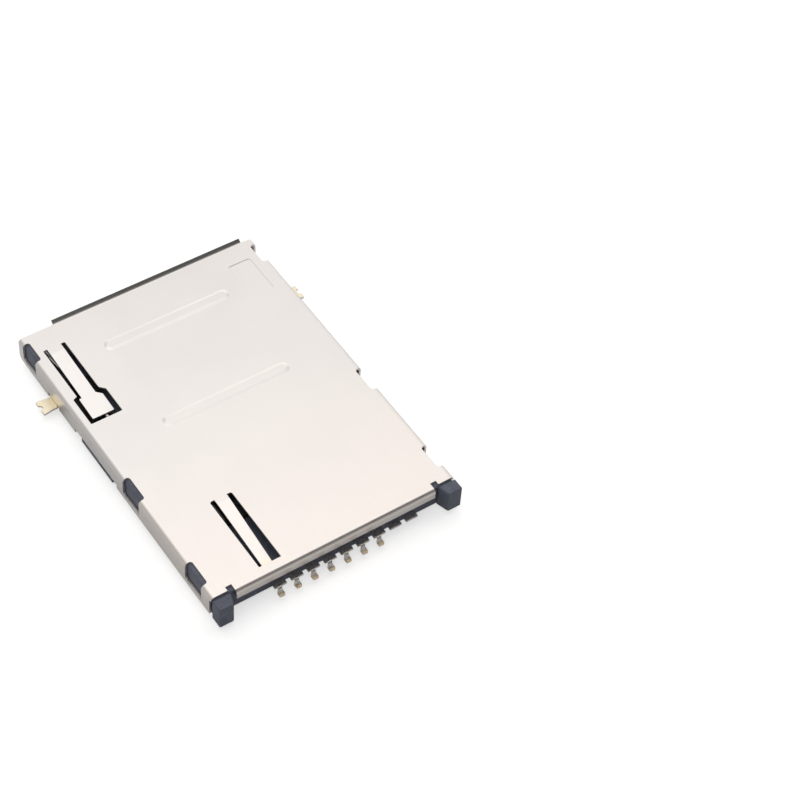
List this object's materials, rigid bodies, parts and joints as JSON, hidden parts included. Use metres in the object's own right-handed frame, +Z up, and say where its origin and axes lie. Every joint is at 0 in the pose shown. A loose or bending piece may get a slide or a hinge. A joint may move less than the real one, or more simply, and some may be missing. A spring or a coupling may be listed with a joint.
{
  "type": "sim card socket",
  "caption": "Flat push-push card socket: steel shell with sprung tongues over a moulded base with contact springs, solder tails and two board posts.",
  "frame": {"origin": "on the board plane, midway between the two locating posts", "axes": "+Z up from the board, +Y out of the card entry, +X to the right when looking along +Y"},
  "size_m": [0.0208, 0.0269, 0.0025],
  "materials": {
    "shell_steel": "satin rolled stainless sheet",
    "housing_plastic": "moulded glass-filled polymer, blue-grey",
    "contact_metal": "copper alloy, gold plated at tips and feet, nickel between",
    "slider_plastic": "moulded acetal, natural",
    "wire_steel": "drawn stainless wire"
  },
  "bodies": {
    "base": {"housing": "housing_plastic", "shell": "shell_steel", "contact_a2": "contact_metal", "contact_a3": "contact_metal", "contact_a4": "contact_metal", "contact_b2": "contact_metal", "contact_b3": "contact_metal", "contact_b4": "contact_metal", "spare_lead_a1": "contact_metal", "spare_lead_b1": "contact_metal", "detect_lead": "contact_metal", "return_spring": "wire_steel"},
    "slider": {"slider": "slider_plastic"},
    "link_rod": {"link_rod": "wire_steel"}
  },
  "joints": [
    {"name": "slider_push", "type": "slide", "parent": "base", "child": "slider", "axis": [0, 1, 0], "range_m": [-0.0036, 0], "stiffness_N_per_m": 100, "springref_m": 0.0015, "deforming": ["return_spring"]},
    {"name": "rod_swing", "type": "hinge", "parent": "base", "child": "link_rod", "pos_m": [-0.00814, 0.0189, 0.00118], "axis": [0, 0, 1], "range_deg": [-7.2, 0]}
  ]
}
